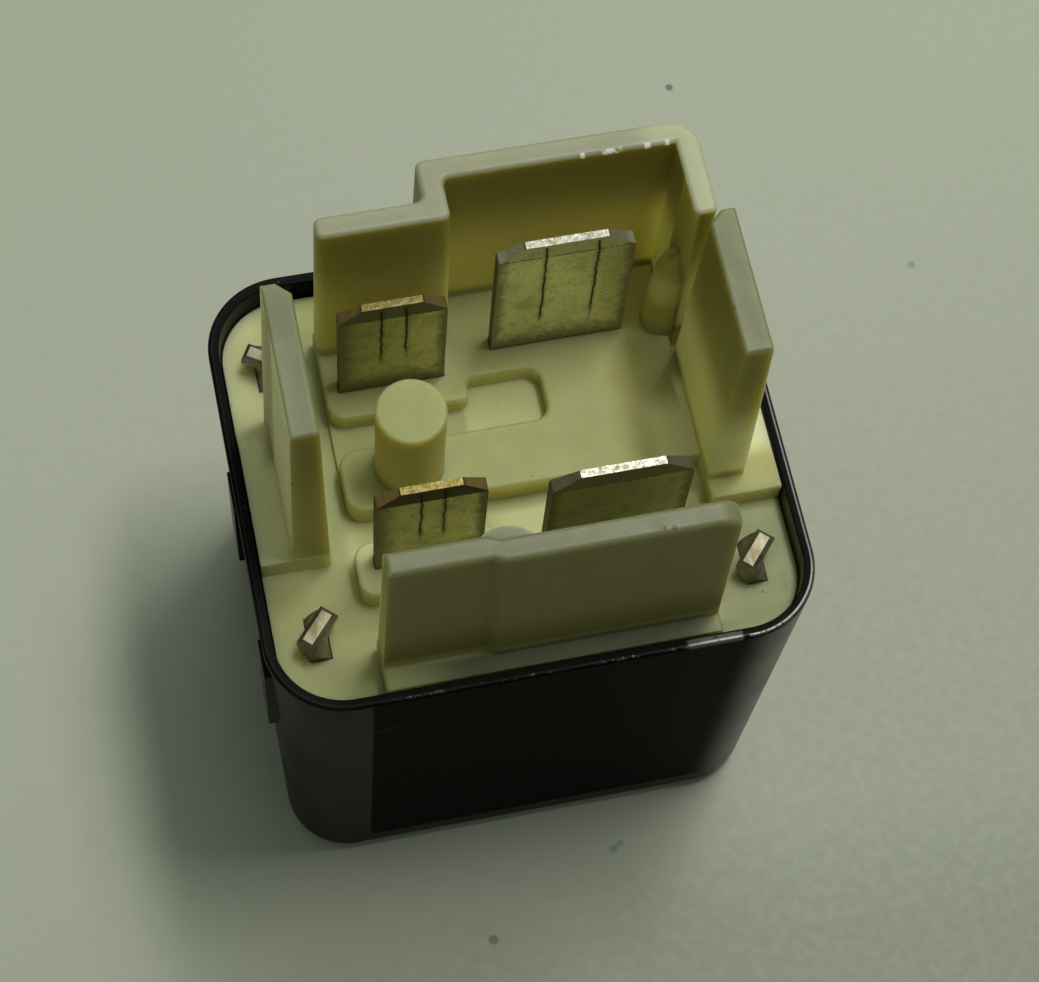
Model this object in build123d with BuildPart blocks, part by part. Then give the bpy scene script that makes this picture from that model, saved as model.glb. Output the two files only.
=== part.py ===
from build123d import *
import os
from math import hypot, radians, tan

os.makedirs("parts", exist_ok=True)

# Plug-in relay standing on the closed end of its can, terminals up, millimetres.
# Origin: centre of the can's closed end. X runs along the can's longer side, Z is up.

# Can
case_length = 32.5
case_width = 28.0
case_height = 30.4
case_wall = 0.65
case_draft = 1.5
case_corner = 4.7
case_foot_radius = 1.6
rim_round = 0.2
rim_inner_round = 0.12
rail_width = 2.4
rail_proud = 0.12
rail_length = 8.0
rail_drop = 1.4
rail_y_back = 1.2
rail_inset_front = 4.5

# Base moulding
base_gap = 0.1
floor_drop = 1.8
base_thickness = 2.6
platform_drop = 0.1
platform_front = 2.1
platform_corner = 1.1
platform_round = 0.25
band_front = 5.0
band_back_left = 4.35
band_back_right = 4.5
plinth_inset = 4.0
channel_depth = 1.3
channel_width = 2.0
channel_setback = 2.2
pocket_setback = 0.85
pocket_length = 4.45
channel_lobe_x = -1.5
channel_corner = 0.9
boss_margin_x = 1.1
boss_margin_y = 1.3
boss_corner = 1.0
boss_shift = 0.4

# Shroud walls and post
back_height = 14.0
front_height = 13.5
side_height = 15.8
wall_thickness = 1.35
wall_draft = 0.8
side_thickness = 1.6
side_draft = 1.1
wall_round = 0.3
wall_corner = 0.45
back_inset = 2.35
back_jog = 2.57
back_jog_x = -2.8
back_end_inset = 6.35
return_inset = 4.3
return_end_y = 6.0
return_corner = 1.7
pillar_offset = 1.25
pillar_setback = 1.1
pillar_radius = 1.15
pillar_height = 8.0
pillar_taper = 6
front_inset = 2.65
front_jog = 0.3
front_jog_x = -3.6
front_left_inset = 6.5
front_right_inset = 6.3
front_end_radius = 1.2
front_rib_radius = 2.3
front_rib_rise = 0.45
front_rib_x = -3.05
jog_slope = 0.35
side_left_inset = 3.75
side_left_front = -4.4
side_left_back = 5.5
side_right_inset = 3.95
side_right_front = -3.9
side_right_back = 5.65
side_bevel_x = 1.0
side_bevel_y = 0.95
side_round = 0.2
post_shift = 0.075
post_radius = 2.05
post_height = 7.35
post_round = 0.2

# Terminals
blade_thickness = 0.8
load_corner_x = 1.6
load_corner_z = 1.05
coil_corner_x = 1.4
coil_corner_z = 0.95
blade_round = 0.3
blade_bevel_height = 1.0
blade_bevel_depth = 0.17
load_width = 8.0
load_height = 11.4
load_wall_gap = 7.9
load_wall_offset = 4.35
coil_width = 6.3
coil_height = 9.4
coil_wall_gap = 6.65
coil_back_offset = 2.98
coil_front_offset = 5.7
blade_gap = 0.05
shoulder_margin = 0.9
shoulder_height = 2.4
coil_tail_width = 1.4
coil_tail_offset = 2.05
coil_tail_drop = 8.8
contact_arm_width = 3.0
contact_arm_reach = 1.9
bend_radius = 0.5

# Yoke
yoke_thickness = 1.15
yoke_floor = 1.6
yoke_side_margin = 0.45
yoke_bend = 1.2
leg_inset_x = 3.3
leg_inset_y = 5.25
leg_width = 2.6
leg_height = 1.9
leg_gap = 0.075
leg_tip = 0.25
seat_gap = 0.05
twist_rise = 1.2
twist_front = 42
twist_back = 59
hinge_margin = 2.65
spring_window_half = 1.7
spring_window_floor = 8.0
web_margin = 2.5
arm_half = 2.35
arm_root = 6.0

# Armature group
armature_drop = 5.3
hinge_gap = 0.1
armature_thickness = 1.3
armature_half = 4.4
nose_to_contact = 3.4
armature_nose_half = 3.2
hinge_clearance = 0.35
hinge_depth = 2.6
tail_half = 1.25
tail_reach = 0.8
leaf_thickness = 0.3
leaf_half = 2.6
leaf_tail_inset = 2.95
leaf_tip_margin = 0.35
stack_gap = 0.03
rivet_radius = 0.8
rivet_head_radius = 1.45
rivet_head_height = 0.55
rivet_pitch = 6.0
rivet_inset = 3.6
rivet_fit = 0.04
stop_gap = 0.12
stop_inset = 1.0
stop_width = 1.3
stop_half = 2.0

# Contacts
contact_inset = 2.55
contact_radius = 1.5
contact_tail_radius = 0.7
moving_contact_height = 0.9
fixed_contact_height = 0.7
contact_gap = 1.0
contact_dome = 0.25

# Coil
pole_gap = 0.85
core_head_rim = 1.2
core_head_height = 0.9
core_share = 0.357
core_shoulder = 0.8
core_rivet_height = 0.35
core_gap = 0.06
bobbin_tube_wall = 0.8
bobbin_tail_gap = 0.33
bobbin_flange = 1.0
winding_margin = 0.9
winding_gap = 0.04
tape_thickness = 0.18
tape_end = 1.1
lead_radius = 0.16

# Return spring and braid
spring_offset = 0.8
spring_radius = 0.72
spring_wire = 0.16
spring_turns = 11
spring_hook = 1.4
spring_tail_hole = 0.5
spring_rise = 0.6
braid_radius = 0.5
braid_offset = 2.0
braid_end_inset = 3.95
braid_gap = 0.1

# Levels and positions that follow from the sizes above
rim_z = case_height
floor_z = rim_z - floor_drop
base_under = floor_z - base_thickness
platform_z = rim_z - platform_drop
channel_z = platform_z - channel_depth
back_z = rim_z + back_height
front_z = rim_z + front_height
side_z = rim_z + side_height
armature_under = base_under - armature_drop
armature_top = armature_under + armature_thickness
leaf_under = armature_top + stack_gap
leaf_top = leaf_under + leaf_thickness
hinge_edge = armature_under - hinge_gap
pole_z = armature_under - pole_gap
head_under = pole_z - core_head_height
web_top = yoke_floor + yoke_thickness
bobbin_bottom = web_top + seat_gap
bobbin_top = head_under - seat_gap
winding_low = bobbin_bottom + bobbin_flange + winding_gap
winding_high = bobbin_top - bobbin_flange - winding_gap
moving_contact_z = leaf_under - moving_contact_height
arm_top = moving_contact_z - contact_gap - fixed_contact_height
arm_low = arm_top - blade_thickness
leg_x = case_length / 2 - leg_inset_x
leg_y = case_width / 2 - leg_inset_y
leg_outer = leg_x + yoke_thickness / 2
leg_inner = leg_x - yoke_thickness / 2
draft_slope = tan(radians(case_draft))
half_length = case_length / 2
half_width = case_width / 2
shroud_half = wall_thickness / 2 + (back_z - floor_z) * tan(radians(wall_draft))
side_half = side_thickness / 2 + (side_z - floor_z) * tan(radians(side_draft))
slot_width = yoke_thickness + 2 * leg_gap
slot_length = leg_width + 2 * leg_gap
spring_x = -leg_x - spring_offset
back_right_y = half_width - back_inset
back_left_y = back_right_y - back_jog
back_left_end = back_end_inset - half_length
return_x = half_length - return_inset
front_right_y = front_inset - half_width
front_left_y = front_right_y + front_jog
front_left_end = front_left_inset - half_length
front_right_end = half_length - front_right_inset
side_left_x = side_left_inset - half_length
side_right_x = half_length - side_right_inset
platform_left = -back_left_end
platform_right = side_right_x - side_half
rail_y_front = rail_inset_front - half_width
load_x = side_right_x - load_wall_gap
load_back_y = back_right_y - load_wall_offset
load_front_y = front_right_y + load_wall_offset
coil_x = side_left_x + coil_wall_gap
coil_back_y = back_left_y - coil_back_offset
coil_front_y = front_left_y + coil_front_offset
coil_tail_x = coil_x - coil_tail_offset
post_x = coil_x
post_y = (coil_back_y + coil_front_y) / 2 - post_shift
channel_back_left = coil_back_y - channel_setback
channel_back_right = coil_back_y - pocket_setback
channel_front = channel_back_left - channel_width
channel_right = channel_lobe_x + pocket_length
yoke_side_half = leg_y + leg_width / 2 + yoke_side_margin
web_half = yoke_side_half - web_margin
hinge_half = leg_y - hinge_margin
contact_x = leg_x - contact_inset
armature_nose = contact_x - nose_to_contact
leaf_tail = leaf_tail_inset - leg_x
bobbin_flange_radius = hypot(coil_tail_x + coil_tail_width / 2, coil_front_y + blade_thickness / 2) - bobbin_tail_gap
winding_radius = bobbin_flange_radius - winding_margin
core_radius = core_share * bobbin_flange_radius
core_tail_radius = core_radius - core_shoulder
core_head_radius = core_radius + core_head_rim
bobbin_bore = core_radius + core_gap
tube_radius = bobbin_bore + bobbin_tube_wall
rivet_high_x = armature_nose - rivet_inset
rivet_low_x = rivet_high_x - rivet_pitch
cut_depth = case_height


def case_outline(z, extra, mode=Mode.ADD):
    """Rounded outline of the can at height z, moved inward by extra."""
    inset = (rim_z - z) * draft_slope + extra
    RectangleRounded(case_length - 2 * inset, case_width - 2 * inset, case_corner - inset, mode=mode)


def upright(part):
    """Edges of a wall that run upwards."""
    return part.edges().filter_by(lambda e: abs(e.tangent_at(0.5).Z) > 0.9)


def blade_points(x, width, height, corner_x, corner_z):
    """Blade above the base with its cut corners, and its shoulders below the base."""
    half = width / 2
    shoulder = half + shoulder_margin
    high = base_under - seat_gap
    low = high - shoulder_height
    top = rim_z + height
    return (
        (x - shoulder, low),
        (x + shoulder, low),
        (x + shoulder, high),
        (x + half, high),
        (x + half, top - corner_z),
        (x + half - corner_x, top),
        (x - half + corner_x, top),
        (x - half, top - corner_z),
        (x - half, high),
        (x - shoulder, high),
    )


def tip_corners(sketch, level):
    """The two outer corners of a blade's tip, at this level."""
    return sketch.vertices().filter_by_position(Axis.Y, level - stack_gap, level + stack_gap)


def bevel_points(y, height, side):
    """A thin wedge taken off one face of a blade at its top edge."""
    top = rim_z + height
    face = y + side * blade_thickness / 2
    return (
        (face, top - blade_bevel_height),
        (face + side, top - blade_bevel_height),
        (face + side, top),
        (face - side * blade_bevel_depth, top),
    )


# The can: a drawn cup with drafted sides, a rounded closed end and two rails on one side
with BuildPart() as cavity:
    with BuildSketch(Plane.XY.offset(case_wall)):
        case_outline(case_wall, case_wall)
    extrude(amount=case_height, taper=-case_draft)
    fillet(cavity.faces().sort_by(Axis.Z)[0].edges(), case_foot_radius - case_wall)

with BuildPart() as can:
    with BuildSketch(Plane.XY):
        case_outline(0, 0)
    extrude(amount=case_height, taper=-case_draft)
    fillet(can.faces().sort_by(Axis.Z)[0].edges(), case_foot_radius)
    rail_low = rim_z - rail_drop - rail_length
    rail_depth = rail_proud + (rim_z - rail_low) * draft_slope + case_wall / 2
    rail_x = -case_length / 2 - rail_proud + rail_depth / 2
    with BuildSketch(Plane.XY.offset(rail_low)):
        with Locations((rail_x, rail_y_back), (rail_x, rail_y_front)):
            Rectangle(rail_depth, rail_width)
    extrude(amount=rail_length)
    add(cavity.part, mode=Mode.SUBTRACT)
    fillet(can.faces().sort_by(Axis.Z)[-1].outer_wire().edges(), rim_round)
    fillet(can.faces().sort_by(Axis.Z)[-1].inner_wires().edges(), rim_inner_round)
can.part.label = "can"
export_step(can.part, "parts/can.step")

# Shroud wall at the back: two runs joined by a jog, then a return at the right
with BuildPart() as back_wall:
    with BuildSketch(Plane.XY.offset(floor_z)):
        with BuildLine():
            Polyline(
                (back_left_end, back_left_y - shroud_half),
                (back_jog_x + shroud_half, back_left_y - shroud_half),
                (back_jog_x + shroud_half, back_right_y - shroud_half),
                (return_x - shroud_half, back_right_y - shroud_half),
                (return_x - shroud_half, return_end_y),
                (return_x + shroud_half, return_end_y),
                (return_x + shroud_half, back_right_y + shroud_half),
                (back_jog_x - shroud_half, back_right_y + shroud_half),
                (back_jog_x - shroud_half, back_left_y + shroud_half),
                (back_left_end, back_left_y + shroud_half),
                close=True,
            )
        make_face()
    extrude(amount=back_z - floor_z)
    draft(back_wall.faces().filter_by(Axis.Z, reverse=True), Plane.XY.offset(floor_z), wall_draft)
    far_corner = upright(back_wall).sort_by(lambda e: e.center().X + e.center().Y)[-1]
    fillet(far_corner, return_corner)
    corner_limit = return_x + back_right_y - return_corner
    fillet(upright(back_wall).filter_by(lambda e: e.center().X + e.center().Y < corner_limit), wall_corner)
    fillet(back_wall.faces().sort_by(Axis.Z)[-1].edges(), wall_round)

# Shroud wall at the front, with a slight jog and a rounded far end
with BuildPart() as front_wall:
    with BuildSketch(Plane.XY.offset(floor_z)):
        with BuildLine():
            Polyline(
                (front_left_end, front_left_y - shroud_half),
                (front_jog_x - jog_slope, front_left_y - shroud_half),
                (front_jog_x + jog_slope, front_right_y - shroud_half),
                (front_right_end, front_right_y - shroud_half),
                (front_right_end, front_right_y + shroud_half),
                (front_jog_x + jog_slope, front_right_y + shroud_half),
                (front_jog_x - jog_slope, front_left_y + shroud_half),
                (front_left_end, front_left_y + shroud_half),
                close=True,
            )
        make_face()
    extrude(amount=front_z - floor_z)
    draft(front_wall.faces().filter_by(Axis.Z, reverse=True), Plane.XY.offset(floor_z), wall_draft)
    far_end = front_wall.faces().sort_by(Axis.Z)[-1].edges().sort_by(Axis.X)[-1]
    fillet(far_end, front_end_radius)
    fillet(front_wall.faces().sort_by(Axis.Z)[-1].edges().filter_by(GeomType.LINE), wall_round)

# Side walls: tall fins with a bevelled end
with BuildPart() as left_wall:
    with BuildSketch(Plane.XY.offset(floor_z)):
        with BuildLine():
            Polyline(
                (side_left_x - side_half, side_left_front),
                (side_left_x + side_half, side_left_front),
                (side_left_x + side_half, side_left_back - side_bevel_y),
                (side_left_x + side_half - side_bevel_x, side_left_back),
                (side_left_x - side_half, side_left_back),
                close=True,
            )
        make_face()
    extrude(amount=side_z - floor_z)
    draft(left_wall.faces().filter_by(Axis.Z, reverse=True), Plane.XY.offset(floor_z), side_draft)
    fillet(left_wall.faces().sort_by(Axis.Z)[-1].edges(), side_round)

with BuildPart() as right_wall:
    with BuildSketch(Plane.XY.offset(floor_z)):
        with BuildLine():
            Polyline(
                (side_right_x - side_half, side_right_front),
                (side_right_x + side_half, side_right_front),
                (side_right_x + side_half, side_right_back),
                (side_right_x - side_half + side_bevel_x, side_right_back),
                (side_right_x - side_half, side_right_back - side_bevel_y),
                close=True,
            )
        make_face()
    extrude(amount=side_z - floor_z)
    draft(right_wall.faces().filter_by(Axis.Z, reverse=True), Plane.XY.offset(floor_z), side_draft)
    fillet(right_wall.faces().sort_by(Axis.Z)[-1].edges(), side_round)

# The base: floor, raised platform with its channel, bosses, post, walls, slots and the armature stop
platform_back = back_left_y + shroud_half
return_edge = return_x + shroud_half
with BuildPart() as base:
    with BuildSketch(Plane.XY.offset(base_under)):
        case_outline(base_under, case_wall + base_gap)
    extrude(amount=base_thickness, taper=-case_draft)
    with BuildSketch(Plane.XY.offset(floor_z)):
        with Locations((-platform_left, -platform_front)):
            Rectangle(
                platform_left + back_jog_x,
                platform_back + platform_front,
                align=(Align.MIN, Align.MIN),
            )
        with Locations((back_jog_x - shroud_half, -platform_front)):
            Rectangle(
                platform_right - back_jog_x + shroud_half,
                back_right_y + shroud_half + platform_front,
                align=(Align.MIN, Align.MIN),
            )
        with Locations((platform_right, return_end_y)):
            Rectangle(
                return_edge - platform_right,
                back_right_y + shroud_half - return_end_y,
                align=(Align.MIN, Align.MIN),
            )
        with Locations((platform_right, -band_front)):
            Rectangle(case_length, band_front + band_back_right, align=(Align.MIN, Align.MIN))
        with Locations((side_left_x + side_half, side_left_front)):
            Rectangle(case_length, band_back_left - side_left_front, align=(Align.MAX, Align.MIN))
        with Locations((front_left_end, plinth_inset - half_width)):
            Rectangle(front_right_end - front_left_end, case_width, align=(Align.MIN, Align.MAX))
        case_outline(floor_z, case_wall + base_gap, Mode.INTERSECT)
    extrude(amount=platform_z - floor_z)
    with BuildSketch(Plane.XY.offset(floor_z)):
        with Locations((coil_x, coil_front_y - boss_shift)):
            RectangleRounded(coil_width + 2 * boss_margin_x, blade_thickness + 2 * boss_margin_y, boss_corner)
        with Locations((load_x, load_front_y)):
            RectangleRounded(load_width + boss_margin_x, blade_thickness + boss_margin_y, boss_corner)
    extrude(amount=platform_z - floor_z)
    with BuildSketch(Plane.XY.offset(channel_z)) as channel:
        with Locations((-platform_left - wall_corner, channel_front)):
            Rectangle(
                platform_left + wall_corner + channel_lobe_x,
                channel_back_left - channel_front,
                align=(Align.MIN, Align.MIN),
            )
        with Locations((channel_lobe_x, channel_front)):
            Rectangle(
                channel_right - channel_lobe_x,
                channel_back_right - channel_front,
                align=(Align.MIN, Align.MIN),
            )
        fillet(channel.vertices().filter_by(lambda v: abs(v.X - channel_lobe_x) < wall_corner), wall_corner)
        fillet(channel.vertices().filter_by(lambda v: v.X > channel_right - wall_corner), channel_corner)
    extrude(amount=case_height, mode=Mode.SUBTRACT)
    left_corners = base.edges().filter_by(Axis.Z).filter_by_position(
        Axis.X, -platform_left - stack_gap, -platform_left + stack_gap
    )
    fillet(left_corners.filter_by_position(Axis.Y, -platform_front - stack_gap, coil_back_y), platform_corner)
    level = base.faces().filter_by(Axis.Z).filter_by_position(Axis.Z, platform_z - stack_gap, platform_z + stack_gap)
    rim_edge = half_width - case_wall - base_gap - platform_round
    open_edges = level.edges().filter_by(lambda e: abs(e.center().Y) < rim_edge and abs(e.center().X) < rim_edge)
    fillet(open_edges, platform_round)
    with Locations((post_x, post_y, floor_z)):
        Cylinder(post_radius, rim_z + post_height - floor_z, align=(Align.CENTER, Align.CENTER, Align.MIN))
    post_top = base.faces().sort_by(Axis.Z)[-1]
    fillet(post_top.edges(), post_round)
    add(back_wall.part)
    add(front_wall.part)
    add(left_wall.part)
    add(right_wall.part)
    with BuildSketch(Plane.XY.offset(floor_z)):
        with Locations((front_rib_x, front_left_y + shroud_half + front_rib_rise - front_rib_radius)):
            Circle(front_rib_radius)
        with Locations((front_rib_x, front_left_y)):
            Rectangle(2 * front_rib_radius, front_rib_radius, align=(Align.CENTER, Align.MIN), mode=Mode.INTERSECT)
    extrude(amount=front_z - floor_z - wall_round, taper=wall_draft)
    with BuildSketch(Plane.XY.offset(floor_z)):
        with Locations((return_x - pillar_offset, return_end_y + pillar_setback)):
            Circle(pillar_radius)
            Rectangle(pillar_offset, 2 * pillar_radius, align=(Align.MIN, Align.CENTER))
    extrude(amount=rim_z + pillar_height - floor_z, taper=pillar_taper)
    with BuildSketch(Plane.XY.offset(base_under)):
        with Locations((-leg_x, leg_y), (-leg_x, -leg_y), (leg_x, -leg_y)):
            Rectangle(slot_width, slot_length)
        with Locations((load_x, load_back_y), (load_x, load_front_y)):
            Rectangle(load_width + 2 * blade_gap, blade_thickness + 2 * blade_gap)
        with Locations((coil_x, coil_back_y), (coil_x, coil_front_y)):
            Rectangle(coil_width + 2 * blade_gap, blade_thickness + 2 * blade_gap)
    extrude(amount=platform_z - base_under, mode=Mode.SUBTRACT)
    with BuildSketch(Plane.XY.offset(base_under)):
        with Locations((armature_nose - stop_inset, 0)):
            RectangleRounded(stop_width, 2 * stop_half, stop_width / 3)
    extrude(amount=-(base_under - leaf_top - stop_gap))
base.part.label = "base"
export_step(base.part, "parts/base.step")

# Wide terminal that carries the fixed contact on a bent arm
with BuildPart() as load_terminal_fixed:
    with BuildSketch(Plane.XZ.offset(-load_front_y)) as blade:
        with BuildLine():
            Polyline(*blade_points(load_x, load_width, load_height, load_corner_x, load_corner_z), close=True)
        make_face()
        fillet(tip_corners(blade, rim_z + load_height - load_corner_z), blade_round)
        with Locations((load_x, base_under - seat_gap)):
            Rectangle(
                contact_x + contact_arm_width / 2 - load_x,
                shoulder_height,
                align=(Align.MIN, Align.MAX),
            )
    extrude(amount=blade_thickness / 2, both=True)
    with BuildSketch(Plane.YZ):
        for side in (-1, 1):
            with BuildLine():
                Polyline(*bevel_points(load_front_y, load_height, side), close=True)
            make_face()
    extrude(amount=case_length, both=True, mode=Mode.SUBTRACT)
    with BuildSketch(Plane.YZ.offset(contact_x)) as arm:
        with BuildLine():
            Polyline(
                (load_front_y - blade_thickness / 2, base_under - seat_gap - shoulder_height),
                (load_front_y - blade_thickness / 2, arm_low),
                (contact_arm_reach, arm_low),
                (contact_arm_reach, arm_top),
                (load_front_y + blade_thickness / 2, arm_top),
                (load_front_y + blade_thickness / 2, base_under - seat_gap - shoulder_height),
                close=True,
            )
        make_face()
        low_corner = arm.vertices().sort_by(lambda v: v.X + v.Y)[0]
        fillet(low_corner, bend_radius + blade_thickness)
        inner_corner = arm.vertices().sort_by_distance((load_front_y, arm_top))[0]
        fillet(inner_corner, bend_radius)
    extrude(amount=contact_arm_width / 2, both=True)
    arm_end = load_terminal_fixed.edges().filter_by(Axis.Z).filter_by_position(
        Axis.Y, contact_arm_reach - stack_gap, contact_arm_reach + stack_gap
    )
    fillet(arm_end, bend_radius)
    with Locations((contact_x, 0, arm_low)):
        Cylinder(
            contact_tail_radius + rivet_fit,
            2 * blade_thickness,
            align=(Align.CENTER, Align.CENTER, Align.CENTER),
            mode=Mode.SUBTRACT,
        )
load_terminal_fixed.part.label = "load_terminal_fixed"
export_step(load_terminal_fixed.part, "parts/load_terminal_fixed.step")

# Wide terminal that feeds the moving contact through the braid
with BuildPart() as load_terminal_common:
    with BuildSketch(Plane.XZ.offset(-load_back_y)) as blade:
        with BuildLine():
            Polyline(*blade_points(load_x, load_width, load_height, load_corner_x, load_corner_z), close=True)
        make_face()
        fillet(tip_corners(blade, rim_z + load_height - load_corner_z), blade_round)
    extrude(amount=blade_thickness / 2, both=True)
    with BuildSketch(Plane.YZ):
        for side in (-1, 1):
            with BuildLine():
                Polyline(*bevel_points(load_back_y, load_height, side), close=True)
            make_face()
    extrude(amount=case_length, both=True, mode=Mode.SUBTRACT)
load_terminal_common.part.label = "load_terminal_common"
export_step(load_terminal_common.part, "parts/load_terminal_common.step")

# Narrow terminals, each with a tail that reaches down to the coil
with BuildPart() as coil_terminal_back:
    with BuildSketch(Plane.XZ.offset(-coil_back_y)) as blade:
        with BuildLine():
            Polyline(*blade_points(coil_x, coil_width, coil_height, coil_corner_x, coil_corner_z), close=True)
        make_face()
        fillet(tip_corners(blade, rim_z + coil_height - coil_corner_z), blade_round)
        with Locations((coil_tail_x, base_under - seat_gap)):
            Rectangle(coil_tail_width, coil_tail_drop, align=(Align.CENTER, Align.MAX))
    extrude(amount=blade_thickness / 2, both=True)
    with BuildSketch(Plane.YZ):
        for side in (-1, 1):
            with BuildLine():
                Polyline(*bevel_points(coil_back_y, coil_height, side), close=True)
            make_face()
    extrude(amount=case_length, both=True, mode=Mode.SUBTRACT)
coil_terminal_back.part.label = "coil_terminal_back"
export_step(coil_terminal_back.part, "parts/coil_terminal_back.step")

with BuildPart() as coil_terminal_front:
    with BuildSketch(Plane.XZ.offset(-coil_front_y)) as blade:
        with BuildLine():
            Polyline(*blade_points(coil_x, coil_width, coil_height, coil_corner_x, coil_corner_z), close=True)
        make_face()
        fillet(tip_corners(blade, rim_z + coil_height - coil_corner_z), blade_round)
        with Locations((coil_tail_x, base_under - seat_gap)):
            Rectangle(coil_tail_width, coil_tail_drop, align=(Align.CENTER, Align.MAX))
    extrude(amount=blade_thickness / 2, both=True)
    with BuildSketch(Plane.YZ):
        for side in (-1, 1):
            with BuildLine():
                Polyline(*bevel_points(coil_front_y, coil_height, side), close=True)
            make_face()
    extrude(amount=case_length, both=True, mode=Mode.SUBTRACT)
coil_terminal_front.part.label = "coil_terminal_front"
export_step(coil_terminal_front.part, "parts/coil_terminal_front.step")

# Yoke: one stamping, a U with three legs that pass the base and are twisted above it
leg_sites = ((-leg_x, leg_y, twist_back), (-leg_x, -leg_y, -twist_front), (leg_x, -leg_y, -twist_front))
with BuildPart() as yoke:
    with BuildSketch(Plane.XZ) as channel_section:
        with BuildLine():
            Polyline(
                (-leg_outer, base_under - seat_gap),
                (-leg_outer, yoke_floor),
                (leg_outer, yoke_floor),
                (leg_outer, base_under - seat_gap),
                (leg_inner, base_under - seat_gap),
                (leg_inner, web_top),
                (-leg_inner, web_top),
                (-leg_inner, base_under - seat_gap),
                close=True,
            )
        make_face()
        low_corners = channel_section.vertices().filter_by_position(Axis.Y, 0, yoke_floor + stack_gap)
        fillet(low_corners, yoke_bend + yoke_thickness)
        inner_corners = channel_section.vertices().filter_by_position(
            Axis.Y, web_top - stack_gap, web_top + stack_gap
        )
        fillet(inner_corners, yoke_bend)
    extrude(amount=yoke_side_half, both=True)
    web_end = leg_inner - yoke_bend
    with BuildSketch(Plane.XY):
        with Locations((0, web_half), (0, -web_half - case_width)):
            Rectangle(2 * web_end, case_width, align=(Align.CENTER, Align.MIN))
    extrude(amount=web_top, mode=Mode.SUBTRACT)
    with BuildSketch(Plane.YZ.offset(-case_length)) as notch:
        with Locations((0, hinge_edge)):
            Rectangle(2 * hinge_half, cut_depth, align=(Align.CENTER, Align.MIN))
        with Locations((0, spring_window_floor)):
            Rectangle(2 * spring_window_half, cut_depth, align=(Align.CENTER, Align.MIN))
        window_corners = notch.vertices().filter_by_position(
            Axis.Y, spring_window_floor - stack_gap, spring_window_floor + stack_gap
        )
        fillet(window_corners, wall_corner)
    extrude(amount=case_length, mode=Mode.SUBTRACT)
    arm_edge = -leg_y + arm_half
    with BuildSketch(Plane.YZ):
        with BuildLine():
            Polyline(
                (arm_edge, case_height),
                (arm_edge, arm_root + case_wall),
                (arm_edge + arm_root, web_top + yoke_bend),
                (case_width, web_top + yoke_bend),
                (case_width, case_height),
                close=True,
            )
        make_face()
    extrude(amount=case_length, mode=Mode.SUBTRACT)
    with BuildSketch(Plane.XY.offset(base_under - 2 * seat_gap)):
        for x, y, twist in leg_sites:
            with Locations((x, y)):
                Rectangle(yoke_thickness, leg_width)
    extrude(amount=base_thickness + 2 * seat_gap)
    with Locations((0, 0, yoke_floor)):
        Cylinder(core_tail_radius + core_gap, 4 * yoke_thickness, mode=Mode.SUBTRACT)
for x, y, twist in leg_sites:
    with BuildPart() as leg:
        for step in range(5):
            with BuildSketch(Plane.XY.offset(floor_z + twist_rise * step / 4)):
                with Locations((x, y)):
                    Rectangle(yoke_thickness, leg_width, rotation=twist * step / 4)
        loft()
        with BuildSketch(Plane.XY.offset(floor_z + twist_rise)):
            with Locations((x, y)):
                Rectangle(yoke_thickness, leg_width, rotation=twist)
        extrude(amount=leg_height - twist_rise)
        chamfer(leg.faces().sort_by(Axis.Z)[-1].edges(), leg_tip)
    with yoke:
        add(leg.part)
yoke.part.label = "yoke"
export_step(yoke.part, "parts/yoke.step")

# Core: pole head, shaft, and a tail riveted under the yoke's web
with BuildPart() as core:
    with BuildSketch(Plane.XZ):
        with BuildLine():
            Polyline(
                (0, yoke_floor - core_rivet_height),
                (core_radius, yoke_floor - core_rivet_height),
                (core_radius, yoke_floor - stack_gap),
                (core_tail_radius, yoke_floor - stack_gap),
                (core_tail_radius, web_top + stack_gap),
                (core_radius, web_top + stack_gap),
                (core_radius, head_under),
                (core_head_radius, head_under),
                (core_head_radius, pole_z),
                (0, pole_z),
                close=True,
            )
        make_face()
    revolve(axis=Axis.Z)
    chamfer(core.faces().sort_by(Axis.Z)[-1].edges(), rim_round)
core.part.label = "core"
export_step(core.part, "parts/core.step")

# Bobbin: a tube between two flanges
with BuildPart() as bobbin:
    with BuildSketch(Plane.XZ) as spool:
        with BuildLine():
            Polyline(
                (bobbin_bore, bobbin_bottom),
                (bobbin_flange_radius, bobbin_bottom),
                (bobbin_flange_radius, bobbin_bottom + bobbin_flange),
                (tube_radius, bobbin_bottom + bobbin_flange),
                (tube_radius, bobbin_top - bobbin_flange),
                (bobbin_flange_radius, bobbin_top - bobbin_flange),
                (bobbin_flange_radius, bobbin_top),
                (bobbin_bore, bobbin_top),
                close=True,
            )
        make_face()
    revolve(axis=Axis.Z)
bobbin.part.label = "bobbin"
export_step(bobbin.part, "parts/bobbin.step")

# Winding and the tape wrapped round it
with BuildPart() as coil_winding:
    with BuildSketch(Plane.XY.offset(winding_low)):
        Circle(winding_radius)
        Circle(tube_radius + winding_gap, mode=Mode.SUBTRACT)
    extrude(amount=winding_high - winding_low)
coil_winding.part.label = "coil_winding"
export_step(coil_winding.part, "parts/coil_winding.step")

with BuildPart() as winding_tape:
    with BuildSketch(Plane.XY.offset(winding_low + tape_end)):
        Circle(winding_radius + winding_gap + tape_thickness)
        Circle(winding_radius + winding_gap, mode=Mode.SUBTRACT)
    extrude(amount=winding_high - winding_low - 2 * tape_end)
winding_tape.part.label = "winding_tape"
export_step(winding_tape.part, "parts/winding_tape.step")

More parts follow.
